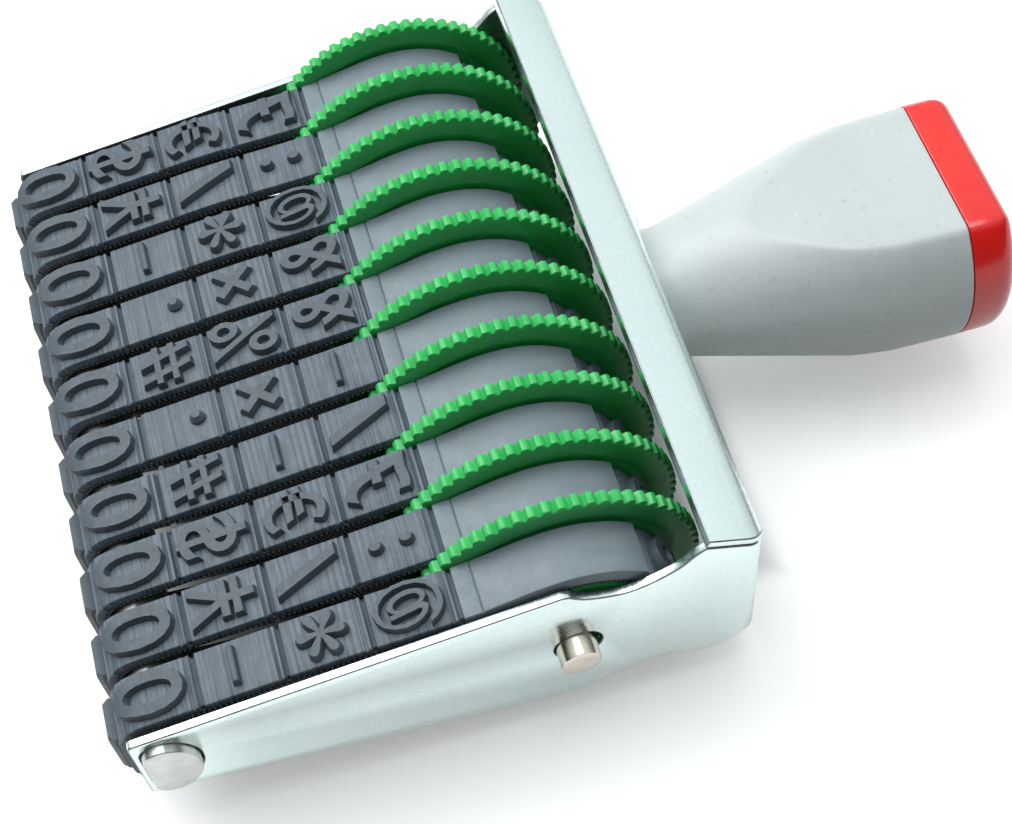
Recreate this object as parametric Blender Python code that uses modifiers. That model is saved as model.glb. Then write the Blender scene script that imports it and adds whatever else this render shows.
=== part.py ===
"""Band number stamp: ten character bands on thumbwheels in a bent steel frame.

The stamp lies on its side. +X runs from the print end to the end cap, Y runs
along the axle and +Z is up. Lengths are in metres.
"""

import math

import bmesh
import bpy
from mathutils import Matrix

# ---- driving dimensions ---------------------------------------------------
MM = 0.001

BAND_COUNT = 10
PITCH = 6.0 * MM                # one band and one thumbwheel along the axle
BAND_WIDTH = 4.8 * MM
FIT_GAP = 0.25 * MM             # clearance between neighbours along the axle

SHEET = 0.8 * MM                # frame sheet thickness
FRAME_WIDTH = 61.9 * MM         # outside of one side plate to the other
PLATE_FRONT_X = -53.2 * MM      # tip of the side plates, from the web's outer face
PLATE_SLOPE = 0.121             # taper of each long edge of a side plate
PLATE_HALF_AT_WEB = 11.17 * MM  # half height that the taper would reach at the web
LOBE_END_X = -16.6 * MM         # where the tapered lobe of a side plate ends
WAIST_X = -11.3 * MM
WAIST_HALF = 7.0 * MM
WEB_TOP = 9.6 * MM
WEB_BOTTOM = -6.8 * MM
FLANGE_REACH = 4.9 * MM         # how far the lip comes forward of the web
FLANGE_RISE = 2.0 * MM          # how much the lip climbs on the way
LIP_GAP = 0.27 * MM             # slit between the lip and the side plates
CORNER_RADIUS = 1.4 * MM        # outer bend between web and side plates

AXLE_X = -16.2 * MM
AXLE_RADIUS = 1.75 * MM
AXLE_END = 1.8 * MM             # length of pin showing past each side plate
AXLE_HOLE_RADIUS = 2.1 * MM

DISC_RADIUS = 12.8 * MM
DISC_THICKNESS = 0.7 * MM
DISC_TEETH = 64
TOOTH_DEPTH = 0.55 * MM
PULLEY_RADIUS = 7.9 * MM
PULLEY_LENGTH = 5.0 * MM
BORE_RADIUS = 1.9 * MM

BAND_REAR_RADIUS = 9.44 * MM    # pad surface where the band rounds the pulley
BAND_THICKNESS = 1.25 * MM      # fabric backing and rubber pad together
CHARACTER_HEIGHT = 0.8 * MM
NOSE_CENTRE_X = -51.0 * MM      # centres of the two arcs around the print bridge
NOSE_CENTRE_Z = 2.31 * MM
NOSE_RADIUS = 3.0 * MM          # pad surface around the bridge's corners
CELL = 7.25 * MM                # one character cell on the open upper run
TOP_CELLS = 4
ALL_CELLS = 13
FIRST_CELL_EDGE_X = -46.5 * MM  # rear edge of the foremost upper cell
BLANK_LENGTH = 16.9 * MM        # smooth stretch without characters
SPLICE_HEIGHT = 0.5 * MM        # the band's ends overlap here
SPLICE_EDGE = 1.8 * MM          # from the splice to the nearest upper cell
CELL_GROOVE = 0.7 * MM

BRIDGE_REAR_X = -48.1 * MM
BRIDGE_END = 0.75 * MM          # length of bridge showing past each side plate

HANDLE_AXIS_Z = 1.0 * MM
HANDLE_FLAT = 8.1 * MM          # axis to each long flat
HANDLE_RADIUS = 10.9 * MM
HANDLE_JOINT_X = 27.3 * MM
CAP_END_X = 32.0 * MM
SCREW_RADIUS = 1.4 * MM

# The origin sits under the middle of the bounding box, on the resting plane.
NOSE_FACE_X = NOSE_CENTRE_X - NOSE_RADIUS - CHARACTER_HEIGHT
ORIGIN_X = (NOSE_FACE_X + CAP_END_X) / 2
RESTING_Z = -DISC_RADIUS

# ---- colours: base colour, roughness, metallic ----------------------------
FINISHES = {
    "zinc_steel": ((0.66, 0.76, 0.76), 0.28, 1.0),
    "nickel_pin": ((0.72, 0.69, 0.63), 0.22, 1.0),
    "bridge_zinc": ((0.68, 0.68, 0.64), 0.35, 1.0),
    "green_plastic": ((0.05, 0.62, 0.16), 0.35, 0.0),
    "grey_rubber": ((0.16, 0.19, 0.225), 0.62, 0.0),
    "handle_plastic": ((0.56, 0.61, 0.60), 0.4, 0.0),
    "red_plastic": ((0.80, 0.02, 0.015), 0.2, 0.0),
    "screw_steel": ((0.5, 0.5, 0.5), 0.35, 1.0),
}


# ---- helpers --------------------------------------------------------------
def clear_scene():
    for item in list(bpy.data.objects):
        bpy.data.objects.remove(item, do_unlink=True)


def new_collection(name):
    collection = bpy.data.collections.new(name)
    bpy.context.scene.collection.children.link(collection)
    return collection


def make_material(name):
    colour, roughness, metallic = FINISHES[name]
    material = bpy.data.materials.new(name)
    material.use_nodes = True
    shader = material.node_tree.nodes["Principled BSDF"]
    shader.inputs["Base Color"].default_value = (*colour, 1.0)
    shader.inputs["Roughness"].default_value = roughness
    shader.inputs["Metallic"].default_value = metallic
    return material


def add_object(name, data, collection, location=(0, 0, 0), rotation=(0, 0, 0)):
    item = bpy.data.objects.new(name, data)
    collection.objects.link(item)
    item.parent = datum
    item.location = location
    item.rotation_euler = rotation
    return item


def mesh_from_bmesh(name, shape):
    bmesh.ops.recalc_face_normals(shape, faces=shape.faces)
    mesh = bpy.data.meshes.new(name)
    shape.to_mesh(mesh)
    shape.free()
    return mesh


def cylinder_mesh(name, radius, length, segments):
    shape = bmesh.new()
    bmesh.ops.create_cone(
        shape, cap_ends=True, segments=segments, radius1=radius, radius2=radius, depth=length
    )
    return mesh_from_bmesh(name, shape)


def box_mesh(name, size):
    shape = bmesh.new()
    bmesh.ops.create_cube(shape, size=1.0, matrix=Matrix.Diagonal((*size, 1.0)))
    return mesh_from_bmesh(name, shape)


def outline_mesh(name, loops, thickness, smooth=False):
    """Extrude closed flat loops; a loop inside another one is a hole."""
    curve = bpy.data.curves.new(name, "CURVE")
    curve.dimensions = "2D"
    curve.fill_mode = "BOTH"
    curve.extrude = thickness / 2
    curve.resolution_u = 4
    for points in loops:
        if smooth:
            spline = curve.splines.new("BEZIER")
            spline.bezier_points.add(len(points) - 1)
            for knot, (x, y, handle) in zip(spline.bezier_points, points):
                knot.co = (x, y, 0)
                knot.handle_left_type = handle
                knot.handle_right_type = handle
        else:
            spline = curve.splines.new("POLY")
            spline.points.add(len(points) - 1)
            for knot, (x, y) in zip(spline.points, points):
                knot.co = (x, y, 0, 1)
        spline.use_cyclic_u = True
    holder = bpy.data.objects.new(name + "_outline", curve)
    bpy.context.scene.collection.objects.link(holder)
    bpy.context.view_layer.update()
    evaluated = holder.evaluated_get(bpy.context.evaluated_depsgraph_get())
    mesh = bpy.data.meshes.new_from_object(evaluated)
    bpy.data.objects.remove(holder, do_unlink=True)
    shape = bmesh.new()
    shape.from_mesh(mesh)
    bmesh.ops.remove_doubles(shape, verts=shape.verts, dist=0.001 * MM)
    bpy.data.meshes.remove(mesh)
    return mesh_from_bmesh(name, shape)


def arc(centre_x, centre_y, radius, start, end, steps):
    """Points on an arc, angles in degrees."""
    points = []
    for step in range(steps + 1):
        angle = math.radians(start + (end - start) * step / steps)
        points.append((centre_x + radius * math.cos(angle), centre_y + radius * math.sin(angle)))
    return points


def turned_part(name, profile, material, steps, location, rotation):
    """Spin a profile of (radius, height) points about the local Z axis."""
    mesh = bpy.data.meshes.new(name)
    vertices = [(radius, 0, height) for radius, height in profile]
    edges = [(index, index + 1) for index in range(len(profile) - 1)]
    mesh.from_pydata(vertices, edges, [])
    item = add_object(name, mesh, parts, location, rotation)
    screw = item.modifiers.new("spin", "SCREW")
    screw.axis = "Z"
    screw.steps = steps
    screw.render_steps = steps
    screw.use_merge_vertices = True
    screw.merge_threshold = 0.001 * MM
    screw.use_smooth_shade = True
    mesh.materials.append(materials[material])
    return item


def add_boolean(target, operation, cutter):
    cutter.hide_render = True
    cutter.display_type = "WIRE"
    modifier = target.modifiers.new(operation.lower(), "BOOLEAN")
    modifier.operation = operation
    modifier.object = cutter
    modifier.solver = "EXACT"


ALONG_Y = (math.radians(90), 0, 0)  # local Z runs along -Y, local Y points up
ALONG_X = (0, math.radians(90), 0)  # local Z runs along +X


# ---- frame ----------------------------------------------------------------
def plate_half(x):
    return PLATE_HALF_AT_WEB + PLATE_SLOPE * x


def lip_height(x):
    """Height of the lip's upper surface."""
    return WEB_TOP - x * FLANGE_RISE / FLANGE_REACH


def side_outline():
    """Web, lip and side plate seen from the side, front tip on the left."""
    tip = 0.6 * MM
    front_half = plate_half(PLATE_FRONT_X)
    lobe_half = plate_half(LOBE_END_X)
    slope = math.atan2(FLANGE_RISE, FLANGE_REACH)
    under = SHEET / math.cos(slope)
    slot_end = -SHEET + 0.05 * MM
    lip_end = -FLANGE_REACH - SHEET * math.sin(slope)
    return [
        (PLATE_FRONT_X, -front_half + tip, "VECTOR"),
        (PLATE_FRONT_X, front_half - tip, "VECTOR"),
        (PLATE_FRONT_X + tip * 0.3, front_half - tip * 0.25, "VECTOR"),
        (PLATE_FRONT_X + tip, front_half, "VECTOR"),
        (LOBE_END_X, lobe_half, "VECTOR"),
        (LOBE_END_X + 1.4 * MM, lobe_half - 1.3 * MM, "VECTOR"),
        (LOBE_END_X + 2.9 * MM, WAIST_HALF + 0.3 * MM, "AUTO"),
        (WAIST_X, WAIST_HALF, "AUTO"),
        (-7.8 * MM, WAIST_HALF + 1.2 * MM, "AUTO"),
        (lip_end, lip_height(lip_end) - under - LIP_GAP, "VECTOR"),
        (slot_end, lip_height(slot_end) - under - LIP_GAP, "VECTOR"),
        (slot_end, lip_height(slot_end) - under, "VECTOR"),
        (lip_end, lip_height(lip_end) - under, "VECTOR"),
        (-FLANGE_REACH, WEB_TOP + FLANGE_RISE, "VECTOR"),
        (-0.55 * MM, lip_height(-0.55 * MM), "VECTOR"),
        (-0.12 * MM, WEB_TOP - 0.2 * MM, "VECTOR"),
        (0.0, WEB_TOP - 0.7 * MM, "VECTOR"),
        (0.0, WEB_BOTTOM, "VECTOR"),
        (-1.2 * MM, WEB_BOTTOM, "VECTOR"),
        (-3.2 * MM, WEB_BOTTOM - 1.5 * MM, "AUTO"),
        (-5.0 * MM, WEB_BOTTOM - 1.4 * MM, "AUTO"),
        (-9.2 * MM, -WAIST_HALF + 0.1 * MM, "AUTO"),
        (LOBE_END_X + 3.5 * MM, -WAIST_HALF - 0.7 * MM, "AUTO"),
        (LOBE_END_X + 1.2 * MM, -lobe_half - 0.1 * MM, "AUTO"),
        (LOBE_END_X, -lobe_half, "VECTOR"),
        (PLATE_FRONT_X + tip, -front_half, "VECTOR"),
        (PLATE_FRONT_X + tip * 0.3, -front_half + tip * 0.25, "VECTOR"),
    ]


def hollow_outline():
    """Everything between the side plates, in front of the web and under the lip."""
    slope = math.atan2(FLANGE_RISE, FLANGE_REACH)
    middle = SHEET / math.cos(slope) + LIP_GAP / 2
    rear = -SHEET
    front = -FLANGE_REACH - 0.8 * MM
    return [
        (rear, -20 * MM),
        (rear, lip_height(rear) - middle),
        (front, lip_height(front) - middle),
        (front, 20 * MM),
        (-60 * MM, 20 * MM),
        (-60 * MM, -20 * MM),
    ]


def bridge_outline(clearance=0.0):
    """D-shaped bar: flat print face on the left, round back on the right."""
    front_radius = NOSE_RADIUS - BAND_THICKNESS - FIT_GAP + clearance
    half = NOSE_CENTRE_Z + front_radius
    back = BRIDGE_REAR_X + clearance
    points = arc(NOSE_CENTRE_X, NOSE_CENTRE_Z, front_radius, 180, 90, 4)
    points += [(back - half * 0.6, half)]
    points += [(back - half * 0.18, half * 0.62), (back, 0.0), (back - half * 0.18, -half * 0.62)]
    points += [(back - half * 0.6, -half)]
    points += arc(NOSE_CENTRE_X, -NOSE_CENTRE_Z, front_radius, -90, -180, 4)
    return points


def build_frame():
    frame = add_object("frame", outline_mesh("frame", [side_outline()], FRAME_WIDTH, True),
                       parts, rotation=ALONG_Y)
    frame.data.materials.append(materials["zinc_steel"])

    hollow = outline_mesh("hollow", [hollow_outline()], FRAME_WIDTH - 2 * SHEET)
    add_boolean(frame, "DIFFERENCE", add_object("hollow", hollow, cutters, rotation=ALONG_Y))

    for name, side in (("near_corner", -1), ("far_corner", 1)):
        bend = arc(-CORNER_RADIUS, 0, CORNER_RADIUS, 90, 0, 4)
        bend += [(MM, 0), (MM, CORNER_RADIUS + MM), (-CORNER_RADIUS, CORNER_RADIUS + MM)]
        start = FRAME_WIDTH / 2 - CORNER_RADIUS
        points = [(x, side * (start + y)) for x, y in bend]
        corner = add_object(name, outline_mesh(name, [points], 60 * MM), cutters)
        add_boolean(frame, "DIFFERENCE", corner)

    axle_hole = add_object(
        "axle_hole", cylinder_mesh("axle_hole", AXLE_HOLE_RADIUS, FRAME_WIDTH + 4 * MM, 24),
        cutters, (AXLE_X + 0.2 * MM, 0, 0), ALONG_Y)
    add_boolean(frame, "DIFFERENCE", axle_hole)

    slot = outline_mesh("bridge_slot", [bridge_outline(0.15 * MM)], FRAME_WIDTH + 4 * MM)
    add_boolean(frame, "DIFFERENCE", add_object("bridge_slot", slot, cutters, rotation=ALONG_Y))

    screw_hole = add_object("screw_hole", cylinder_mesh("screw_hole", 1.7 * MM, 4 * MM, 20),
                            cutters, (0, 0, HANDLE_AXIS_Z), ALONG_X)
    add_boolean(frame, "DIFFERENCE", screw_hole)


# ---- print bridge and axle ------------------------------------------------
def build_bridge():
    length = FRAME_WIDTH + 2 * BRIDGE_END
    mesh = outline_mesh("print_bridge", [bridge_outline()], length)
    mesh.materials.append(materials["bridge_zinc"])
    add_object("print_bridge", mesh, parts, rotation=ALONG_Y)


def build_axle():
    half = FRAME_WIDTH / 2 + AXLE_END
    edge = 0.25 * MM
    profile = [(0, half), (AXLE_RADIUS - edge, half), (AXLE_RADIUS, half - edge),
               (AXLE_RADIUS, edge - half), (AXLE_RADIUS - edge, -half), (0, -half)]
    turned_part("axle", profile, "nickel_pin", 24, (AXLE_X, 0, 0), ALONG_Y)


# ---- thumbwheels ----------------------------------------------------------
def wheel_centre_y(index):
    """Disc centre of wheel 0 (far side) to wheel 9 (near side)."""
    near_disc = -FRAME_WIDTH / 2 + SHEET + FIT_GAP + BAND_WIDTH + FIT_GAP + DISC_THICKNESS / 2
    return near_disc + (BAND_COUNT - 1 - index) * PITCH


def band_centre_y(index):
    return wheel_centre_y(index) - DISC_THICKNESS / 2 - FIT_GAP - BAND_WIDTH / 2


def toothed_rim():
    points = []
    for step in range(2 * DISC_TEETH):
        radius = DISC_RADIUS - (step % 2) * TOOTH_DEPTH
        angle = math.pi * step / DISC_TEETH
        points.append((radius * math.cos(angle), radius * math.sin(angle)))
    return points


def build_wheel(index):
    name = f"wheel_{index + 1:02d}"
    bore = arc(0, 0, BORE_RADIUS, 0, 345, 23)
    mesh = outline_mesh(name, [toothed_rim(), bore], DISC_THICKNESS)
    mesh.materials.append(materials["green_plastic"])
    wheel = add_object(name, mesh, parts, (AXLE_X, wheel_centre_y(index), 0), ALONG_Y)
    drum_loops = [arc(0, 0, PULLEY_RADIUS, 0, 345, 23), bore]
    drum = add_object(name + "_drum", outline_mesh(name + "_drum", drum_loops, PULLEY_LENGTH),
                      cutters, (AXLE_X, wheel_centre_y(index) - PULLEY_LENGTH / 2, 0), ALONG_Y)
    add_boolean(wheel, "UNION", drum)


# ---- character bands ------------------------------------------------------
def band_path(offset):
    """Closed run of a band at a height above its pad surface, as line and arc pieces.

    Pieces run from the top of the rear arc forwards, around the nose, back along
    the bottom and up around the pulley.
    """
    rear_radius = BAND_REAR_RADIUS + offset
    nose_radius = NOSE_RADIUS + offset
    run_x = AXLE_X - NOSE_CENTRE_X
    reach = math.hypot(run_x, NOSE_CENTRE_Z)
    lean = math.asin((BAND_REAR_RADIUS - NOSE_RADIUS) / reach) - math.atan2(NOSE_CENTRE_Z, run_x)
    tilt = math.degrees(lean)
    run = math.sqrt(reach ** 2 - (BAND_REAR_RADIUS - NOSE_RADIUS) ** 2)
    return [
        ("line", (AXLE_X, 0), rear_radius, 90 + tilt, run),
        ("arc", (NOSE_CENTRE_X, NOSE_CENTRE_Z), nose_radius, 90 + tilt, 180),
        ("line", (NOSE_CENTRE_X, NOSE_CENTRE_Z), nose_radius, 180, 2 * NOSE_CENTRE_Z),
        ("arc", (NOSE_CENTRE_X, -NOSE_CENTRE_Z), nose_radius, 180, 270 - tilt),
        ("line", (NOSE_CENTRE_X, -NOSE_CENTRE_Z), nose_radius, 270 - tilt, run),
        ("arc", (AXLE_X, 0), rear_radius, 270 - tilt, 450 + tilt),
    ]


def piece_length(piece):
    """Length measured on the pad surface."""
    kind, _, radius, start, extent = piece
    if kind == "line":
        return extent
    return radius * math.radians(extent - start)


def point_on_path(distance, offset):
    """Point at a distance along the pad surface, raised by offset."""
    for base, raised in zip(band_path(0), band_path(offset)):
        length = piece_length(base)
        if distance <= length:
            break
        distance -= length
    kind, (centre_x, centre_z), radius, start, extent = raised
    if kind == "line":
        normal = math.radians(start)
        x = centre_x + radius * math.cos(normal) - distance * math.sin(normal)
        z = centre_z + radius * math.sin(normal) + distance * math.cos(normal)
        return x, z
    angle = math.radians(start) + math.radians(extent - start) * distance / length
    return centre_x + radius * math.cos(angle), centre_z + radius * math.sin(angle)


def cell_edges():
    """Start and end of every raised cell, measured forwards along the path."""
    tilt = math.radians(band_path(0)[0][3] - 90)
    rear_tangent_x = AXLE_X - BAND_REAR_RADIUS * math.sin(tilt)
    first_edge = (rear_tangent_x - FIRST_CELL_EDGE_X) / math.cos(tilt)
    loop = sum(piece_length(piece) for piece in band_path(0))
    hidden_cell = (loop - BLANK_LENGTH - TOP_CELLS * CELL) / (ALL_CELLS - TOP_CELLS)
    edges = []
    start = first_edge - (TOP_CELLS - 1) * CELL
    for cell in range(ALL_CELLS):
        pitch = CELL if cell < TOP_CELLS else hidden_cell
        edges.append((start + CELL_GROOVE / 2, start + pitch - CELL_GROOVE / 2))
        start += pitch
    return edges


def bends_inside(start, end):
    """Path distances between two points where the outline needs a vertex."""
    distances = []
    position = 0.0
    for piece in band_path(0):
        length = piece_length(piece)
        steps = 1
        if piece[0] == "arc":
            steps = math.ceil((piece[4] - piece[3]) / 18)
        distances += [position + length * step / steps for step in range(steps)]
        position += length
    loop = position
    distances += [distance + loop for distance in distances]
    return [distance for distance in distances if start + 0.3 * MM < distance < end - 0.3 * MM]


def band_outline():
    """Outer loop with a raised land for every cell, and the smooth inner loop."""
    loop = sum(piece_length(piece) for piece in band_path(0))
    outer = []
    cells = cell_edges()
    lands = [(start, end, CHARACTER_HEIGHT) for start, end in cells]
    splice_end = cells[0][0] + loop - SPLICE_EDGE
    lands.append((cells[-1][1] + CELL_GROOVE, splice_end, SPLICE_HEIGHT))
    for index, (start, end, height) in enumerate(lands):
        for distance in [start] + bends_inside(start, end) + [end]:
            outer.append(point_on_path(distance % loop, height))
        following = lands[index + 1][0] if index + 1 < len(lands) else cells[0][0] + loop
        for distance in [end] + bends_inside(end, following) + [following]:
            outer.append(point_on_path(distance % loop, 0))
    inner = [point_on_path(distance % loop, -BAND_THICKNESS) for distance in bends_inside(-1, loop)]
    return [outer, inner]


def build_band(index, mesh):
    name = f"band_{index + 1:02d}"
    add_object(name, mesh, parts, (0, band_centre_y(index), 0), ALONG_Y)


# ---- handle, cap and fixing -----------------------------------------------
def handle_profile():
    return [
        (0, 20.0 * MM), (6.2 * MM, 20.0 * MM), (6.2 * MM, HANDLE_JOINT_X),
        (HANDLE_RADIUS, HANDLE_JOINT_X), (HANDLE_RADIUS, 22.0 * MM), (10.55 * MM, 19.0 * MM),
        (9.75 * MM, 16.0 * MM), (8.65 * MM, 12.5 * MM), (7.6 * MM, 9.0 * MM),
        (6.8 * MM, 5.5 * MM), (6.35 * MM, 2.7 * MM), (6.2 * MM, 0.3 * MM),
        (1.65 * MM, 0.3 * MM), (1.65 * MM, 13.0 * MM), (0, 13.0 * MM),
    ]


def cap_profile():
    edge = HANDLE_JOINT_X + FIT_GAP
    radius = HANDLE_RADIUS
    return [
        (0, CAP_END_X), (radius * 0.72, CAP_END_X), (radius * 0.9, CAP_END_X - 0.5 * MM),
        (radius * 0.975, CAP_END_X - 1.3 * MM), (radius, CAP_END_X - 2.4 * MM), (radius, edge),
        (5.9 * MM, edge), (5.9 * MM, 20.4 * MM), (0, 20.4 * MM),
    ]


def build_handle_and_cap():
    place = (0, 0, HANDLE_AXIS_Z)
    for name, profile, material in (("handle", handle_profile(), "handle_plastic"),
                                    ("end_cap", cap_profile(), "red_plastic")):
        item = turned_part(name, profile, material, 36, place, ALONG_X)
        flats = add_object(name + "_flats",
                           box_mesh(name + "_flats", (80 * MM, 40 * MM, 2 * HANDLE_FLAT)),
                           cutters, place)
        add_boolean(item, "INTERSECT", flats)


def build_fixing():
    place = (0, 0, HANDLE_AXIS_Z)
    washer = [(4.0 * MM, -0.95 * MM), (4.0 * MM, -1.35 * MM), (1.7 * MM, -1.35 * MM),
              (1.7 * MM, -0.95 * MM), (4.0 * MM, -0.95 * MM)]
    turned_part("screw_washer", washer, "screw_steel", 24, place, ALONG_X)
    screw = [(0, 11.0 * MM), (0.7 * MM, 11.0 * MM), (SCREW_RADIUS, 9.8 * MM),
             (SCREW_RADIUS, -1.5 * MM), (2.9 * MM, -1.5 * MM), (2.7 * MM, -2.3 * MM),
             (1.8 * MM, -2.7 * MM), (0, -2.7 * MM)]
    turned_part("handle_screw", screw, "screw_steel", 24, place, ALONG_X)


# ---- assembly -------------------------------------------------------------
clear_scene()
parts = new_collection("band_number_stamp")
cutters = new_collection("cutters")
materials = {name: make_material(name) for name in FINISHES}
datum = bpy.data.objects.new("datum", None)
datum.location = (-ORIGIN_X, 0, -RESTING_Z)
bpy.context.scene.collection.objects.link(datum)

build_frame()
build_bridge()
build_axle()
band_mesh = outline_mesh("band", band_outline(), BAND_WIDTH)
band_mesh.materials.append(materials["grey_rubber"])
for number in range(BAND_COUNT):
    build_wheel(number)
    build_band(number, band_mesh)
build_handle_and_cap()
build_fixing()
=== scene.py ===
"""Looks of the band number stamp: ten character bands on green thumbwheels in a steel frame.

Design coordinates are millimetres: x from the web's outer face (the print end
is negative), y from the middle of the frame, z from the bands' mid-plane.
"""

import math

import bmesh
import bpy
import numpy as np
from mathutils import Matrix, Vector


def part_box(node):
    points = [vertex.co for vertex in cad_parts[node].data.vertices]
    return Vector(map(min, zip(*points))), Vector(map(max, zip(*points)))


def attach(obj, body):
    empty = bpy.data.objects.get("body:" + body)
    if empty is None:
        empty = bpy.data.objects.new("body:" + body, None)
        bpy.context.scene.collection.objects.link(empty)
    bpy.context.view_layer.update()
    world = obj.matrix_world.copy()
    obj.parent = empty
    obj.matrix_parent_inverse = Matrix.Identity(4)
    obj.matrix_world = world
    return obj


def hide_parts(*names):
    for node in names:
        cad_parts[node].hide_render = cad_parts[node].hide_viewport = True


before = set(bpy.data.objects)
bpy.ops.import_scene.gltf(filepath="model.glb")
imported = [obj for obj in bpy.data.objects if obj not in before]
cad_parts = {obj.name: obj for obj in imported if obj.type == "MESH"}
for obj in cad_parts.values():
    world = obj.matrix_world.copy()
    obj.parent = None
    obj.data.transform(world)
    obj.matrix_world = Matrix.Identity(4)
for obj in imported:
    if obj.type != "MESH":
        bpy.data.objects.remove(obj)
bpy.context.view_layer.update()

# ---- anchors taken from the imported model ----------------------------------
MM = 0.001
BANDS = 10
BODY = "stamp_body"
frame_low, frame_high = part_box("frame")
axle_low, axle_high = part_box("axle")
bridge_low, bridge_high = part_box("print_bridge")
handle_low, handle_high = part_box("handle")
cap_low, cap_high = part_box("end_cap")
ORIGIN = Vector((frame_high.x, (frame_low.y + frame_high.y) / 2, (axle_low.z + axle_high.z) / 2))
HALF_WIDTH = (frame_high.y - frame_low.y) / 2 / MM
AXLE_X = ((axle_low.x + axle_high.x) / 2 - ORIGIN.x) / MM
AXLE_HALF = (axle_high.y - axle_low.y) / 2 / MM
BRIDGE_HALF = (bridge_high.y - bridge_low.y) / 2 / MM
CAP_END = (cap_high.x - ORIGIN.x) / MM
JOINT_X = (handle_high.x - ORIGIN.x) / MM


def design(node):
    """A node's box in design coordinates."""
    low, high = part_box(node)
    return (low - ORIGIN) / MM, (high - ORIGIN) / MM


# ---- mesh helpers ---------------------------------------------------------
HARD_EDGE = 35                  # degrees: a sharper bend is shaded, and bevelled, as an edge
FLAT_ANGLE = 0.3                # degrees: faces that meet at less are one face
WELD = 0.002                    # millimetres: closer points are one point
BEVEL_SEGMENTS = 3
SOFT_EDGE = 40                  # the same for turned, swept and lofted shapes
EASING = (0.1, 0.2, 0.4, 0.2, 0.1)


def to_world(point):
    """A design point in metres in the row frame."""
    return ORIGIN + Vector(point) * MM


def mesh_object(name, vertices, faces, material, smooth_angle=HARD_EDGE, uvs=None):
    """A mesh from design coordinates, placed in the row frame."""
    mesh = bpy.data.meshes.new(name)
    mesh.from_pydata([to_world(v) for v in vertices], [], faces)
    if uvs is not None:
        layer = mesh.uv_layers.new(name="surface")
        for loop in mesh.loops:
            layer.data[loop.index].uv = uvs[loop.vertex_index]
    finish_mesh(mesh, smooth_angle)
    item = bpy.data.objects.new(name, mesh)
    bpy.context.scene.collection.objects.link(item)
    mesh.materials.append(material)
    return item


def finish_mesh(mesh, smooth_angle):
    """Faces outwards, smooth shading, and sharp edges where the surface bends hard."""
    shape = bmesh.new()
    shape.from_mesh(mesh)
    bmesh.ops.recalc_face_normals(shape, faces=shape.faces)
    shape.to_mesh(mesh)
    shape.free()
    for polygon in mesh.polygons:
        polygon.use_smooth = True
    mesh.set_sharp_from_angle(angle=math.radians(smooth_angle))


def settle(item):
    """Replace an object's modifiers by their result."""
    bpy.context.view_layer.update()
    evaluated = item.evaluated_get(bpy.context.evaluated_depsgraph_get())
    mesh = bpy.data.meshes.new_from_object(evaluated)
    item.modifiers.clear()
    old = item.data
    item.data = mesh
    bpy.data.meshes.remove(old)
    finish_mesh(mesh, HARD_EDGE)


def prism(name, outline, half, material, axis="y"):
    """A flat outline carried through a thickness: (x, z) along y, or (x, y) along z."""
    count = len(outline)
    if axis == "y":
        near = [(x, -half, z) for x, z in outline]
        far = [(x, half, z) for x, z in outline]
    else:
        near = [(x, y, -half) for x, y in outline]
        far = [(x, y, half) for x, y in outline]
    faces = [list(range(count)), list(range(2 * count - 1, count - 1, -1))]
    faces += [[i, (i + 1) % count, count + (i + 1) % count, count + i] for i in range(count)]
    return mesh_object(name, near + far, faces, material)


def arc(centre_x, centre_y, radius, start, end, steps):
    """Points on a circle between two angles in degrees."""
    points = []
    for step in range(steps + 1):
        angle = math.radians(start + (end - start) * step / steps)
        points.append((centre_x + radius * math.cos(angle), centre_y + radius * math.sin(angle)))
    return points


def spline(knots, steps=6):
    """A smooth open line through knots."""
    points = []
    for index in range(len(knots) - 1):
        before = Vector(knots[max(index - 1, 0)])
        start, end = Vector(knots[index]), Vector(knots[index + 1])
        after = Vector(knots[min(index + 2, len(knots) - 1)])
        for step in range(steps):
            t = step / steps
            a = start * 2
            b = end - before
            c = before * 2 - start * 5 + end * 4 - after
            d = start * 3 - before - end * 3 + after
            point = (a + b * t + c * t * t + d * t ** 3) / 2
            points.append((point.x, point.y))
    points.append(tuple(knots[-1]))
    return points


def blended(knots, step):
    """Straight runs between knots, with each corner eased over a few steps."""
    places = np.arange(knots[0][0], knots[-1][0] + step / 2, step)
    heights = np.interp(places, *zip(*knots))
    padded = np.pad(heights, len(EASING) // 2, mode="edge")
    eased = np.convolve(padded, EASING, mode="valid")
    return list(zip(places.tolist(), eased.tolist()))


def cut(item, cutter):
    """Take one closed mesh away from another."""
    modifier = item.modifiers.new("cut", "BOOLEAN")
    modifier.operation = "DIFFERENCE"
    modifier.object = cutter
    modifier.solver = "EXACT"
    settle(item)
    bpy.data.objects.remove(cutter, do_unlink=True)


def soften(item, width, painted_edge_shade=None):
    """Round every hard edge by a small width in millimetres.

    With a darker material of their own the rounded edges carry a painted dark reflection line.
    They are not clamped then, because the narrow slit under the lip would thin them all.
    """
    if painted_edge_shade is not None:
        item.data.materials.append(painted_edge_shade)
    shape = bmesh.new()
    shape.from_mesh(item.data)
    bmesh.ops.remove_doubles(shape, verts=shape.verts, dist=WELD * MM)
    bmesh.ops.dissolve_limit(shape, angle_limit=math.radians(FLAT_ANGLE),
                             verts=shape.verts, edges=shape.edges)
    shape.to_mesh(item.data)
    shape.free()
    bevel = item.modifiers.new("bevel", "BEVEL")
    bevel.width = width * MM
    bevel.segments = BEVEL_SEGMENTS
    bevel.limit_method = "ANGLE"
    bevel.angle_limit = math.radians(HARD_EDGE)
    bevel.use_clamp_overlap = painted_edge_shade is None
    if painted_edge_shade is not None:
        bevel.material = len(item.data.materials) - 1
    settle(item)


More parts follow.
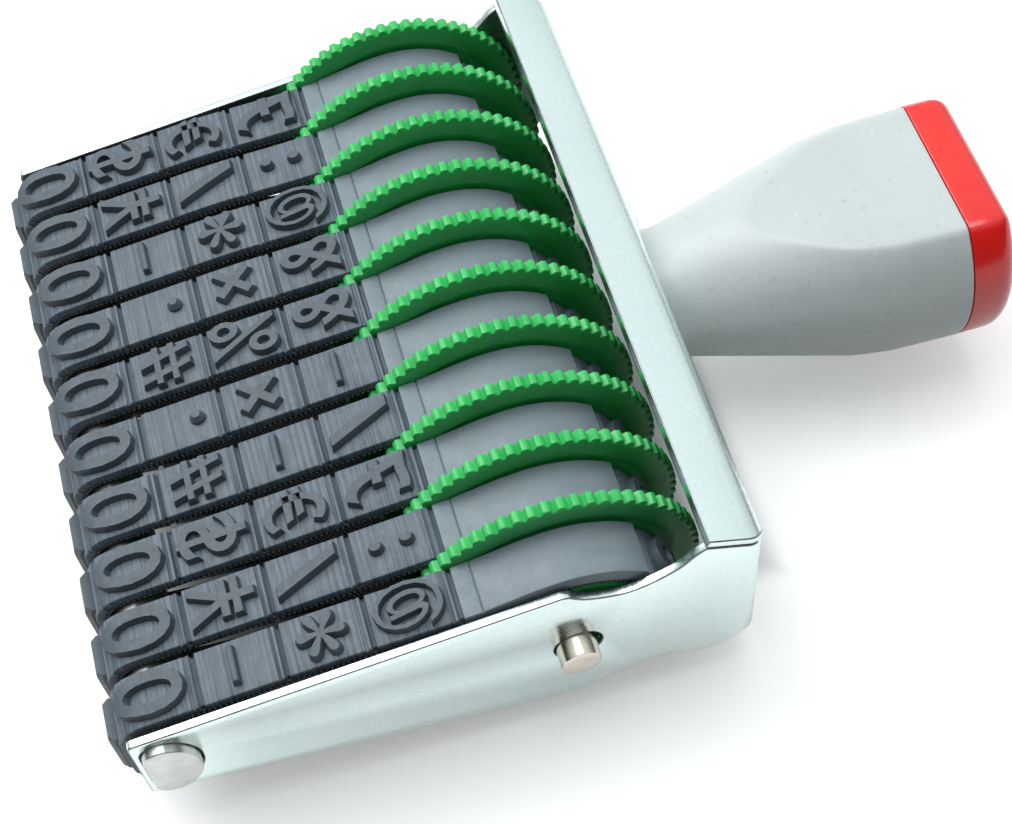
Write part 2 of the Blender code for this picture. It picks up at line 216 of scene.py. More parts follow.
def piece(item, body, slot, *nodes):
    """Hang a finished piece on its body's empty and hide the CAD nodes that it replaces."""
    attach(item, body)
    if nodes:
        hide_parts(*nodes)


# ---- materials ------------------------------------------------------------
class Nodes:
    """A short way to write a procedural material."""

    def __init__(self, name):
        self.material = bpy.data.materials.new(name)
        self.material.use_nodes = True
        self.tree = self.material.node_tree
        self.shader = self.tree.nodes["Principled BSDF"]

    def set(self, **values):
        for key, value in values.items():
            self.shader.inputs[key.replace("_", " ")].default_value = value

    def add(self, kind, **values):
        node = self.tree.nodes.new(kind)
        for key, value in values.items():
            setattr(node, key, value)
        return node

    def link(self, source, target):
        self.tree.links.new(source, target)

    def scaled(self, scale, source="Object"):
        coordinates = self.add("ShaderNodeTexCoord")
        mapping = self.add("ShaderNodeMapping")
        mapping.inputs["Scale"].default_value = scale
        self.link(coordinates.outputs[source], mapping.inputs["Vector"])
        return mapping.outputs["Vector"]

    def noise(self, vector, detail=3.0, roughness=0.55):
        node = self.add("ShaderNodeTexNoise")
        node.inputs["Scale"].default_value = 1.0
        node.inputs["Detail"].default_value = detail
        node.inputs["Roughness"].default_value = roughness
        self.link(vector, node.inputs["Vector"])
        return node.outputs["Fac"]

    def ramp(self, source, stops):
        node = self.add("ShaderNodeValToRGB")
        ramp = node.color_ramp
        while len(ramp.elements) < len(stops):
            ramp.elements.new(0.5)
        for element, (position, colour) in zip(ramp.elements, stops):
            element.position = position
            element.color = (*colour, 1.0)
        self.link(source, node.inputs["Fac"])
        return node.outputs["Color"]

    def math(self, operation, first, second=0.0):
        node = self.add("ShaderNodeMath", operation=operation)
        for socket, value in zip(node.inputs, (first, second)):
            if isinstance(value, (int, float)):
                socket.default_value = value
            else:
                self.link(value, socket)
        return node.outputs["Value"]

    def mix(self, factor, first, second, blend_type="MIX"):
        node = self.add("ShaderNodeMix", data_type="RGBA", blend_type=blend_type)
        sockets = [node.inputs["Factor"]]
        sockets += [socket for socket in node.inputs if socket.type == "RGBA"]
        for socket, value in zip(sockets, (factor, first, second)):
            if isinstance(value, (int, float)):
                socket.default_value = value
            elif isinstance(value, tuple):
                socket.default_value = (*value, 1.0)
            else:
                self.link(value, socket)
        return next(socket for socket in node.outputs if socket.type == "RGBA")

    def bump(self, height, strength, distance, before=None):
        node = self.add("ShaderNodeBump")
        node.inputs["Strength"].default_value = strength
        node.inputs["Distance"].default_value = distance * MM
        self.link(height, node.inputs["Height"])
        if before is not None:
            self.link(before, node.inputs["Normal"])
        return node.outputs["Normal"]

    def colour(self, source):
        self.link(source, self.shader.inputs["Base Color"])

    def roughness(self, source):
        self.link(source, self.shader.inputs["Roughness"])

    def normal(self, source):
        self.link(source, self.shader.inputs["Normal"])


def steel_material():
    """Bright zinc plating: soft clouds, a fine frost and a faint waviness."""
    nodes = Nodes("zinc_plated_steel")
    nodes.set(Metallic=1.0)
    cloud = nodes.noise(nodes.scaled((60, 60, 60)), detail=4)
    base = nodes.ramp(cloud, [(0.3, (0.75, 0.88, 0.86)), (0.7, (0.80, 0.92, 0.90))])
    frost = nodes.noise(nodes.scaled((3000, 3000, 3000)), detail=1)
    spangle = nodes.ramp(frost, [(0.36, (0.97, 0.97, 0.97)), (0.6, (1.01, 1.01, 1.01))])
    nodes.colour(nodes.mix(1.0, base, spangle, "MULTIPLY"))
    grain = nodes.noise(nodes.scaled((3200, 3200, 3200)), detail=2)
    nodes.roughness(nodes.ramp(grain, [(0.3, (0.16, 0.16, 0.16)), (0.75, (0.30, 0.30, 0.30))]))
    wave = nodes.noise(nodes.scaled((220, 220, 220)), detail=2)
    gentle = nodes.bump(wave, 0.05, 0.2)
    nodes.normal(nodes.bump(grain, 0.16, 0.05, gentle))
    return nodes.material


def plain_metal(name, dark, light, rough, scale):
    """Turned or drawn metal with streaks, stretched by the noise scale."""
    nodes = Nodes(name)
    nodes.set(Metallic=1.0)
    streak = nodes.noise(nodes.scaled(scale), detail=3)
    nodes.colour(nodes.ramp(streak, [(0.3, dark), (0.7, light)]))
    nodes.roughness(nodes.ramp(streak, [(0.3, (rough,) * 3), (0.7, (rough + 0.12,) * 3)]))
    nodes.normal(nodes.bump(streak, 0.1, 0.04))
    return nodes.material


def green_material():
    """Slightly translucent moulded plastic."""
    nodes = Nodes("green_plastic")
    nodes.set(Subsurface_Weight=0.12, Subsurface_Scale=0.0008)
    nodes.shader.inputs["Subsurface Radius"].default_value = (0.3, 1.0, 0.4)
    cloud = nodes.noise(nodes.scaled((400, 400, 400)), detail=3)
    nodes.colour(nodes.ramp(cloud, [(0.3, (0.026, 0.41, 0.088)), (0.7, (0.042, 0.48, 0.118))]))
    fine = nodes.noise(nodes.scaled((2500, 2500, 2500)), detail=2)
    nodes.roughness(nodes.ramp(fine, [(0.3, (0.3, 0.3, 0.3)), (0.7, (0.42, 0.42, 0.42))]))
    nodes.normal(nodes.bump(fine, 0.15, 0.04))
    return nodes.material


def rubber_material(name, dark, light, line_depth):
    """Grey rubber moulded against a milled plate: fine lines run across each band."""
    nodes = Nodes(name)
    across = nodes.noise(nodes.scaled((3.4, 0.05, 1.0), "UV"), detail=3, roughness=0.6)
    blotch = nodes.noise(nodes.scaled((0.35, 0.5, 1.0), "UV"), detail=4)
    specks = nodes.noise(nodes.scaled((2600, 2600, 2600)), detail=2)
    base = nodes.ramp(blotch, [(0.3, dark), (0.7, light)])
    low, high = 1 - line_depth, 1 + line_depth * 0.5
    lines = nodes.ramp(across, [(0.35, (low, low, low)), (0.62, (high, high, high))])
    nodes.colour(nodes.mix(1.0, base, lines, "MULTIPLY"))
    nodes.roughness(nodes.ramp(specks, [(0.3, (0.46, 0.46, 0.46)), (0.7, (0.62, 0.62, 0.62))]))
    ridged = nodes.bump(across, 2.2 * line_depth, 0.12)
    nodes.normal(nodes.bump(specks, 0.2, 0.03, ridged))
    return nodes.material


WEAVE = 14.0                    # radians of weave per millimetre


def tape_material():
    """Woven black tape."""
    nodes = Nodes("woven_tape")
    nodes.set(Roughness=0.85)
    vector = nodes.scaled((1.0, 1.0, 1.0), "UV")
    split = nodes.add("ShaderNodeSeparateXYZ")
    nodes.link(vector, split.inputs["Vector"])
    along = nodes.math("SINE", nodes.math("MULTIPLY", split.outputs["X"], WEAVE))
    across = nodes.math("SINE", nodes.math("MULTIPLY", split.outputs["Y"], WEAVE))
    weave = nodes.math("MULTIPLY", along, across)
    nodes.colour(nodes.ramp(weave, [(0.1, (0.012, 0.013, 0.015)), (0.8, (0.10, 0.105, 0.11))]))
    nodes.normal(nodes.bump(weave, 0.6, 0.1))
    return nodes.material


def thread_material():
    """The fuzzy stitches along the tape's edges."""
    nodes = Nodes("pale_thread")
    nodes.set(Roughness=0.7)
    fuzz = nodes.noise(nodes.scaled((3000, 3000, 3000)), detail=2)
    nodes.colour(nodes.ramp(fuzz, [(0.3, (0.05, 0.055, 0.06)), (0.7, (0.15, 0.155, 0.16))]))
    nodes.normal(nodes.bump(fuzz, 0.3, 0.05))
    return nodes.material


def handle_material():
    """Grey moulded plastic with fine specks of dust in it."""
    nodes = Nodes("grey_handle_plastic")
    cloud = nodes.noise(nodes.scaled((90, 90, 90)), detail=3)
    base = nodes.ramp(cloud, [(0.3, (0.48, 0.53, 0.525)), (0.7, (0.52, 0.57, 0.565))])
    dust = nodes.noise(nodes.scaled((1500, 1500, 1500)), detail=0)
    specks = nodes.ramp(dust, [(0.20, (0.88, 0.88, 0.88)), (0.25, (1, 1, 1)),
                               (0.76, (1, 1, 1)), (0.82, (1.1, 1.1, 1.1))])
    nodes.colour(nodes.mix(1.0, base, specks, "MULTIPLY"))
    fine = nodes.noise(nodes.scaled((1800, 1800, 1800)), detail=3)
    nodes.roughness(nodes.ramp(fine, [(0.3, (0.3, 0.3, 0.3)), (0.7, (0.38, 0.38, 0.38))]))
    nodes.normal(nodes.bump(fine, 0.06, 0.04))
    return nodes.material


def cap_material():
    """Glossy red moulded plastic."""
    nodes = Nodes("red_cap_plastic")
    nodes.set(Coat_Weight=0.3, Coat_Roughness=0.08, Subsurface_Weight=0.15,
              Subsurface_Scale=0.002)
    nodes.shader.inputs["Subsurface Radius"].default_value = (1.0, 0.2, 0.15)
    cloud = nodes.noise(nodes.scaled((120, 120, 120)), detail=3)
    nodes.colour(nodes.ramp(cloud, [(0.3, (0.70, 0.012, 0.010)), (0.7, (0.80, 0.020, 0.014))]))
    fine = nodes.noise(nodes.scaled((1500, 1500, 1500)), detail=2)
    nodes.roughness(nodes.ramp(fine, [(0.3, (0.2, 0.2, 0.2)), (0.7, (0.28, 0.28, 0.28))]))
    nodes.normal(nodes.bump(fine, 0.05, 0.04))
    return nodes.material


STEEL = steel_material()
BRIDGE_METAL = plain_metal("bridge_zinc", (0.52, 0.53, 0.50), (0.68, 0.69, 0.66), 0.3,
                           (900, 300, 900))
PIN_METAL = plain_metal("nickel_pin", (0.60, 0.53, 0.45), (0.74, 0.68, 0.60), 0.16,
                        (1400, 200, 1400))
SCREW_METAL = plain_metal("screw_steel", (0.42, 0.43, 0.44), (0.58, 0.59, 0.60), 0.28,
                          (700, 700, 700))
GREEN = green_material()
RUBBER = rubber_material("grey_rubber", (0.084, 0.113, 0.142), (0.116, 0.150, 0.184), 0.45)
# painted shade: the characters are the pads' own rubber, painted darker to stand in for the
# shade on their flanks
SHADED_GLYPH_RUBBER = rubber_material("glyph_rubber_painted_shade", (0.056, 0.076, 0.095), (0.074, 0.097, 0.120),
                               0.10)
# partly painted light: the smooth stretch is paler, and its colour also paints the brighter
# light and sheen near the pulley
SMOOTH_LIT_RUBBER = rubber_material("smooth_rubber_painted_light", (0.160, 0.200, 0.234), (0.200, 0.244, 0.278),
                                0.04)
# painted reflection: a dark metal on the sheet's rounded edges, standing in for the dark line
# they reflect
PAINTED_EDGE_STEEL = plain_metal("painted_dark_edge", (0.20, 0.22, 0.215), (0.34, 0.36, 0.355), 0.34,
                         (700, 700, 700))
# painted shade: a darker copy of the steel for the faces inside the frame
SHADED_INNER_STEEL = plain_metal("painted_shade_inner_steel", (0.16, 0.185, 0.18), (0.24, 0.27, 0.26), 0.38,
                          (300, 300, 900))
TAPE = tape_material()
THREAD = thread_material()
HANDLE = handle_material()
CAP = cap_material()

# ---- frame ----------------------------------------------------------------
SHEET = 0.8
WEB_TOP = 9.6
WEB_BOTTOM = -6.8
LIP_REACH = 4.9
LIP_SLOPE = 2.0 / 4.9
LIP_GAP = 0.27
CORNER = 1.5
PLATE_HALF = 11.17
PLATE_TAPER = 0.121
LOBE_X = -16.6                  # where the side plates' taper meets the notch
TIP_RADIUS = 0.5
HOLE_RADIUS = 2.1
SCREW_HOLE_RADIUS = 1.7
SCREW_Z = 1.0
SLOT_CLEARANCE = 0.15
PAST = 3                        # how far a cutter stands past the sheet
FRAME_EDGE = 0.11
BAR_EDGE = 0.14
BAR_NOSE_RADIUS = 1.5
NOSE_X = -51.0                  # centre of the print end's two corners
NOSE_Z = 2.31


def plate_half(x):
    """Half the height of the tapered side plates."""
    return PLATE_HALF + PLATE_TAPER * x


def lip_height(x):
    """Height of the lip's upper face."""
    return WEB_TOP - x * LIP_SLOPE


def frame_outline():
    """Side view of plates, web and lip, with the slit that parts the lip from the plates."""
    front = (frame_low.x - ORIGIN.x) / MM
    lobe = LOBE_X
    top = plate_half(front)
    under = SHEET * math.sqrt(1 + LIP_SLOPE ** 2)
    lip_end = -LIP_REACH - SHEET * math.sin(math.atan(LIP_SLOPE))
    slot_end = -SHEET + 0.05
    tip = TIP_RADIUS
    points = arc(front + tip, top - tip, tip, 180, 97, 6)
    points += [(lobe - 0.5, plate_half(lobe - 0.5))]
    points += spline([(lobe + 0.1, plate_half(lobe) - 0.22), (-15.2, 7.9), (-13.1, 7.15),
                      (-11.3, 7.0), (-9.4, 7.5), (-7.3, 8.6), (-5.9, 10.0),
                      (lip_end + 0.1, lip_height(lip_end) - under - LIP_GAP)])
    points += [(slot_end, lip_height(slot_end) - under - LIP_GAP),
               (slot_end, lip_height(slot_end) - under),
               (lip_end, lip_height(lip_end) - under),
               (-LIP_REACH, lip_height(-LIP_REACH))]
    points += spline([(-0.8, lip_height(-0.8)), (-0.35, WEB_TOP + 0.02), (-0.1, WEB_TOP - 0.3),
                      (0.0, WEB_TOP - 0.9)], 3)
    points += [(0.0, WEB_BOTTOM)]
    points += spline([(-1.2, WEB_BOTTOM), (-2.35, -7.7), (-3.35, -8.26), (-4.4, -8.38),
                      (-5.4, -8.05), (-7.04, -7.26), (-8.86, -6.87), (-10.7, -6.95),
                      (-12.5, -7.56), (-14.33, -8.44), (-15.5, -9.15),
                      (lobe, -plate_half(lobe))])
    points += arc(front + tip, tip - top, tip, 263, 180, 6)
    return points


def hollow_outline():
    """Side view of the space between the plates, behind the print end and under the lip."""
    middle = SHEET * math.sqrt(1 + LIP_SLOPE ** 2) + LIP_GAP / 2
    front = -LIP_REACH - 0.8
    return [(-SHEET, -20), (-SHEET, lip_height(-SHEET) - middle),
            (front, lip_height(front) - middle), (front, 20), (-60, 20), (-60, -20)]


def bridge_outline(clearance=0.0):
    """Section of the print bar: flat in front, rounded behind."""
    nose_radius = BAR_NOSE_RADIUS + clearance
    half = NOSE_Z + nose_radius
    back = (bridge_high.x - ORIGIN.x) / MM + clearance
    points = arc(NOSE_X, NOSE_Z, nose_radius, 180, 90, 8)
    points += spline([(back - half * 0.62, half), (back - half * 0.3, half * 0.8),
                      (back - half * 0.06, half * 0.4), (back, 0.0),
                      (back - half * 0.06, -half * 0.4), (back - half * 0.3, -half * 0.8),
                      (back - half * 0.62, -half)])
    points += arc(NOSE_X, -NOSE_Z, nose_radius, -90, -180, 8)
    return points


def build_frame():
    """The bent sheet, with its corners rounded and its holes cut."""
    sheet = prism("frame_sheet", frame_outline(), HALF_WIDTH, STEEL)
    cut(sheet, prism("hollow", hollow_outline(), HALF_WIDTH - SHEET, STEEL))
    for side in (-1, 1):
        bend = arc(-CORNER, 0, CORNER, 90, 0, 10)
        bend += [(1, 0), (1, CORNER + 1), (-CORNER, CORNER + 1)]
        corner = [(x, side * (HALF_WIDTH - CORNER + y)) for x, y in bend]
        cut(sheet, prism("corner", corner, 30, STEEL, "z"))
    hole = arc(AXLE_X + 0.2, 0, HOLE_RADIUS, 0, 352.5, 47)
    cut(sheet, prism("hole", hole, HALF_WIDTH + PAST, STEEL))
    cut(sheet, prism("slot", bridge_outline(SLOT_CLEARANCE), HALF_WIDTH + PAST, STEEL))
    screw = prism("screw_hole", arc(0, 0, SCREW_HOLE_RADIUS, 0, 350, 35), PAST, STEEL, "z")
    screw.matrix_world = (Matrix.Translation(to_world((0, 0, SCREW_Z)))
                          @ Matrix.Rotation(math.radians(90), 4, "Y")
                          @ Matrix.Translation(-ORIGIN))
    cut(sheet, screw)
    soften(sheet, FRAME_EDGE, PAINTED_EDGE_STEEL)
    paint_inner_shade(sheet)
    piece(sheet, BODY, "frame_steel", "frame")


def paint_inner_shade(sheet):
    """The faces that look into the frame get a darker steel: painted shade for the dark inside
    of the frame.
    """
    sheet.data.materials.append(SHADED_INNER_STEEL)
    for polygon in sheet.data.polygons:
        x, y, _ = (polygon.center - ORIGIN) / MM
        facing = polygon.normal
        in_web = facing.x < -0.6 and x > -SHEET - 0.1
        if in_web or (abs(facing.y) > 0.6 and y * facing.y < 0):
            polygon.material_index = len(sheet.data.materials) - 1


# ---- bridge and axle ------------------------------------------------------
def build_bridge():
    bar = prism("print_bar", bridge_outline(), BRIDGE_HALF, BRIDGE_METAL)
    soften(bar, BAR_EDGE)
    piece(bar, BODY, "bridge_metal", "print_bridge")


def lathe(name, profile, centre, steps, material):
    """Spin (radius, height) points about an axis along y through a design point."""
    vertices, faces = [], []
    rings = []
    for radius, height in profile:
        if radius == 0:
            rings.append([len(vertices)] * steps)
            vertices.append((centre[0], centre[1] + height, centre[2]))
            continue
        rings.append(list(range(len(vertices), len(vertices) + steps)))
        for step in range(steps):
            angle = 2 * math.pi * step / steps
            vertices.append((centre[0] + radius * math.cos(angle), centre[1] + height,
                             centre[2] + radius * math.sin(angle)))
    for lower, upper in zip(rings, rings[1:]):
        for step in range(steps):
            following = (step + 1) % steps
            face = [lower[step], lower[following], upper[following], upper[step]]
            face = list(dict.fromkeys(face))
            if len(face) > 2:
                faces.append(face)
    return mesh_object(name, vertices, faces, material)


PIN_RADIUS = 1.75


def build_axle():
    half = AXLE_HALF
    end = [(1.35, 0.0), (1.55, 0.03), (1.69, 0.12), (PIN_RADIUS, 0.28)]
    profile = [(0, -half)] + [(radius, inset - half) for radius, inset in end]
    profile += [(radius, half - inset) for radius, inset in reversed(end)] + [(0, half)]
    pin = lathe("axle_pin", profile, (AXLE_X, 0, 0), 64, PIN_METAL)
    piece(pin, BODY, "pin_metal", "axle")


# ---- thumbwheels ----------------------------------------------------------
TEETH = 64
WHEEL_RADIUS = 12.8
PULLEY_RADIUS = 7.9
PULLEY_END = 5.35               # from the disc's middle to the pulley's far face
BORE = 1.9
RIM_HALF = 0.585
DISC_HALF = 0.35
TOOTH_DEPTH = 0.5
PER_TOOTH = 8
TOOTH_SHAPE = (1.0, 1.0, 1.0, 0.9, 0.35, 0.0, 0.2, 0.8)


def wheel_profile():
    """(radius, height, share of the tooth depth) around the section of wheel and pulley."""
    rim, disc, far = RIM_HALF, DISC_HALF, PULLEY_END
    return [
        (BORE, disc, 0), (7.0, disc, 0), (9.9, disc, 0), (10.35, 0.42, 0), (10.6, rim, 0),
        (12.1, rim, 0), (12.62, rim, 1), (12.77, rim - 0.06, 1), (WHEEL_RADIUS, rim - 0.18, 1),
        (WHEEL_RADIUS, 0.18 - rim, 1), (12.77, 0.06 - rim, 1), (12.62, -rim, 1),
        (12.1, -rim, 0), (10.6, -rim, 0), (10.35, -0.42, 0), (9.9, -disc, 0),
        (8.05, -disc, 0), (PULLEY_RADIUS, -0.5, 0), (PULLEY_RADIUS, 0.15 - far, 0),
        (7.75, -far, 0), (5.0, -far, 0), (4.8, 0.25 - far, 0), (3.3, 0.25 - far, 0),
        (3.1, -far, 0), (BORE, -far, 0),
    ]


def build_wheel(index):
    name = f"wheel_{index:02d}"
    centre_y = design(name)[1].y - DISC_HALF
    steps = TEETH * PER_TOOTH
    profile = wheel_profile()
    vertices, faces = [], []
    for radius, height, share in profile:
        for step in range(steps):
            angle = 2 * math.pi * step / steps + math.pi / 2
            depth = TOOTH_DEPTH * share * (1 - TOOTH_SHAPE[step % PER_TOOTH])
            reach = radius - depth
            vertices.append((AXLE_X + reach * math.cos(angle), centre_y + height,
                             reach * math.sin(angle)))
    rows = len(profile)
    for row in range(rows):
        base, above = row * steps, (row + 1) % rows * steps
        for step in range(steps):
            following = (step + 1) % steps
            faces.append([base + step, base + following, above + following, above + step])
    wheel = mesh_object(f"thumbwheel_{index:02d}", vertices, faces, GREEN, SOFT_EDGE)
    piece(wheel, f"{name}_body", "wheel_plastic", name)


# ---- character bands ------------------------------------------------------
REAR_RADIUS = 9.44
NOSE_RADIUS = 3.0
THICKNESS = 1.25
RUBBER_DEPTH = 0.75
CELL = 7.25
FIRST_EDGE_X = -46.53
TOP_CELLS = 4
ALL_CELLS = 13
BLANK = 16.9
RAISED = 0.8
HALF_BAND = 2.4
SPLICE_HEIGHT = 0.5             # the band's ends overlap beside the pulley
SPLICE_EDGE = 1.8
SPLICE_RAMP = 4.5

SPAN_X = AXLE_X - NOSE_X
SPAN = math.hypot(SPAN_X, NOSE_Z)
TILT = math.asin((REAR_RADIUS - NOSE_RADIUS) / SPAN) - math.atan2(NOSE_Z, SPAN_X)
RUN = math.sqrt(SPAN ** 2 - (REAR_RADIUS - NOSE_RADIUS) ** 2)
TILT_DEGREES = math.degrees(TILT)
# The loop of pad surface: straight and bent pieces as (kind, centre x, centre z,
# radius, first normal in degrees, and length or last normal).
PIECES = [
    ("line", AXLE_X, 0.0, REAR_RADIUS, 90 + TILT_DEGREES, RUN),
    ("arc", NOSE_X, NOSE_Z, NOSE_RADIUS, 90 + TILT_DEGREES, 180),
    ("line", NOSE_X, NOSE_Z, NOSE_RADIUS, 180, 2 * NOSE_Z),
    ("arc", NOSE_X, -NOSE_Z, NOSE_RADIUS, 180, 270 - TILT_DEGREES),
    ("line", NOSE_X, -NOSE_Z, NOSE_RADIUS, 270 - TILT_DEGREES, RUN),
    ("arc", AXLE_X, 0.0, REAR_RADIUS, 270 - TILT_DEGREES, 450 + TILT_DEGREES),
]


def piece_length(part):
    """Length of one piece of the loop."""
    kind, _, _, radius, start, extent = part
    return extent if kind == "line" else radius * math.radians(extent - start)


LOOP = sum(piece_length(part) for part in PIECES)
FIRST_EDGE = (AXLE_X - REAR_RADIUS * math.sin(TILT) - FIRST_EDGE_X) / math.cos(TILT)
HIDDEN_CELL = (LOOP - BLANK - TOP_CELLS * CELL) / (ALL_CELLS - TOP_CELLS)


def on_path(distance, height):
    """(x, z) at a distance along a band's pad surface and a height above it."""
    distance %= LOOP
    for part in PIECES:
        length = piece_length(part)
        if distance <= length:
            break
        distance -= length
    kind, centre_x, centre_z, radius, start, extent = part
    if kind == "line":
        normal = math.radians(start)
        along = distance
    else:
        normal = math.radians(start + (extent - start) * distance / length)
        along = 0.0
    x = centre_x + (radius + height) * math.cos(normal) - along * math.sin(normal)
    z = centre_z + (radius + height) * math.sin(normal) + along * math.cos(normal)
    return x, z


# How far each band's cells sit towards the handle, and how far its print end
# has crept sideways on the bridge, from the near band to the far one.
PHASES = (-0.085, 0.0, 0.295, 0.2, -0.2, -0.185, 0.09, 0.158, -0.094, -0.259)
CREEP = (0.22, 0.02, -0.02, -0.1, 0.0, 0.2, 0.36, 0.48, 0.56, 0.62)
SYMBOLS = (
    "0-*@", "0¥/:", "0$€£", "0#-/", "0.×-",
    "0#%&", "0.×&", "0-*@", "0¥/:", "0$€£",
)
GLYPH_SIZES = {
    "0": (4.0, 6.1), "$": (3.7, 6.3), "€": (3.9, 5.6), "£": (3.9, 5.8),
    "¥": (4.1, 5.8), "/": (3.7, 5.6), ":": (1.15, 4.0), "-": (3.4, 0.75), "*": (4.1, 4.5),
    "@": (4.4, 6.0), ".": (1.3, 1.4), "×": (3.7, 3.9), "&": (4.1, 5.6), "#": (4.1, 4.7),
    "%": (4.4, 6.2),
}
GLYPH_BOLD = {"0": 0.09, ".": 0.03, ":": 0.03, "@": 0.02, "%": 0.05, "#": 0.06}
GLYPH_SHIFTS = {".": -1.6, "-": 0.2}
GLYPH_TOP = RAISED - 0.01
GLYPH_WALL = 0.09
GLYPH_SLOPE = 0.14
GLYPH_SLICE = 0.5               # how finely a character is cut so that it can bend
CAPITAL_HEIGHT = 0.7            # a capital's share of the type size
STITCH_PITCH = 0.47
TAPE_SECTIONS = 120


def creep(distance, amount):
    """Sideways shift: none at the pulley, full from the middle of the run to the bridge."""
    distance %= LOOP
    start, full = 8.0, 20.0
    turn = RUN + 12.0
    if distance < start or distance > 2 * turn:
        return 0.0
    if distance < full:
        share = (distance - start) / (full - start)
    elif distance < turn + 10:
        share = 1.0
    else:
        share = max(0.0, 1 - (distance - turn - 10) / (turn - 10))
    return amount * share * share * (3 - 2 * share)


def cell_spans(phase):
    """(start, end) of every cell, from the one nearest the handle forwards."""
    spans = []
    start = FIRST_EDGE - phase - (TOP_CELLS - 1) * CELL
    for cell in range(ALL_CELLS):
        length = CELL if cell < TOP_CELLS else HIDDEN_CELL
        spans.append((start, start + length))
        start += length
    return spans


def grooves(spans):
    """(place, half width, depth, side notch) of every groove across a band."""
    found = []
    for start, end in spans:
        found.append((start, 0.24, 0.42, 0.32))
        found.append((start + 0.62, 0.16, 0.16, 0.0))
    found.append((spans[-1][1], 0.3, 0.45, 0.3))
    found.append((spans[0][0] - SPLICE_EDGE, 0.1, 0.18, 0.0))
    return found


def splice(distance, spans):
    """Extra height where the band's ends overlap, between its last and first cells."""
    start, end = spans[-1][1] + 0.7, spans[0][0] + LOOP - SPLICE_EDGE
    offset = (distance - start) % LOOP
    length = end - start
    if offset > length:
        return 0.0
    return SPLICE_HEIGHT * min(1.0, offset / 0.25, (length - offset) / SPLICE_RAMP)


def surface(distance, dips, spans):
    """Height and side notch of the pad surface at a place."""
    height = splice(distance, spans)
    notch = 0.0
    for place, half, depth, side in dips:
        gap = abs((distance - place + LOOP / 2) % LOOP - LOOP / 2)
        if gap < half:
            share = 1 - (gap / half) ** 2
            height -= depth * share
            notch = max(notch, side * share)
    return height, notch


def sample_places(dips, spans):
    """Places round the loop where a cross section is needed."""
    first = spans[-1][1] + 0.7
    places = {round(place % LOOP, 4) for place in (first, first + 0.12, first + 0.25)}
    position = 0.0
    for part in PIECES:
        length = piece_length(part)
        step = 1.6 if part[0] == "line" else 0.5
        count = math.ceil(length / step)
        places.update(round(position + length * i / count, 4) for i in range(count))
        position += length
    for place, half, _, _ in dips:
        for share in (-1.02, -0.8, -0.45, 0.0, 0.45, 0.8, 1.02):
            places.add(round((place + share * half) % LOOP, 4))
    ordered = sorted(places)
    kept = [ordered[0]]
    for place in ordered[1:]:
        if place - kept[-1] > 0.03:
            kept.append(place)
    return kept


def band_section(notch, height):
    """(y, height) around the rubber part of a band."""
    half = HALF_BAND - notch
    return [
        (-half - 0.03, -RUBBER_DEPTH), (-half - 0.02, -0.45), (-half, -0.14 + height * 0.6),
        (-half + 0.05, -0.04 + height), (-half + 0.16, height), (-half * 0.5, height + 0.012),
        (0.0, height + 0.02), (half * 0.5, height + 0.012), (half - 0.16, height),
        (half - 0.05, -0.04 + height), (half, -0.14 + height * 0.6), (half + 0.02, -0.45),
        (half + 0.03, -RUBBER_DEPTH),
    ]


def sweep(name, places, sections, centre_y, shift, material):
    """Carry closed (y, height) sections round the loop."""
    rows, count = len(places), len(sections[0])
    vertices, uvs, faces = [], [], []
    for place, section in zip(places, sections):
        side = centre_y + creep(place, shift)
        for y, height in section:
            x, z = on_path(place, height)
            vertices.append((x, side + y, z))
            uvs.append((place, y))
    for row in range(rows):
        base, above = row * count, (row + 1) % rows * count
        for i in range(count):
            following = (i + 1) % count
            faces.append([base + i, base + following, above + following, above + i])
    return mesh_object(name, vertices, faces, material, SOFT_EDGE, uvs)


def smooth_and_lit_splice(rubber, places, spans):
    """Give the stretch without cells its smoother finish and a paler colour, partly its own and
    partly painted light and sheen.
    """
    rubber.data.materials.append(SMOOTH_LIT_RUBBER)
    start = spans[-1][1] + 0.3
    length = spans[0][0] + LOOP - 0.24 - start
    count = len(band_section(0.0, 0.0))
    for polygon in rubber.data.polygons:
        place = places[polygon.index // count]
        if (place - start) % LOOP < length:
            polygon.material_index = 1


def bar_shape(width, height):
    """A plain raised bar with sloped sides, in millimetres."""
    vertices, faces = [], [[3, 2, 1, 0], [8, 9, 10, 11]]
    for level, inset in ((-0.2, 0.0), (RAISED - 0.1, 0.1), (GLYPH_TOP, 0.2)):
        x, y = width / 2 - inset, height / 2 - inset
        vertices += [(-x, -y, level), (x, -y, level), (x, y, level), (-x, y, level)]
    for base in (0, 4):
        for corner in range(4):
            following = (corner + 1) % 4
            faces.append([base + corner, base + following,
                          base + 4 + following, base + 4 + corner])
    return vertices, faces


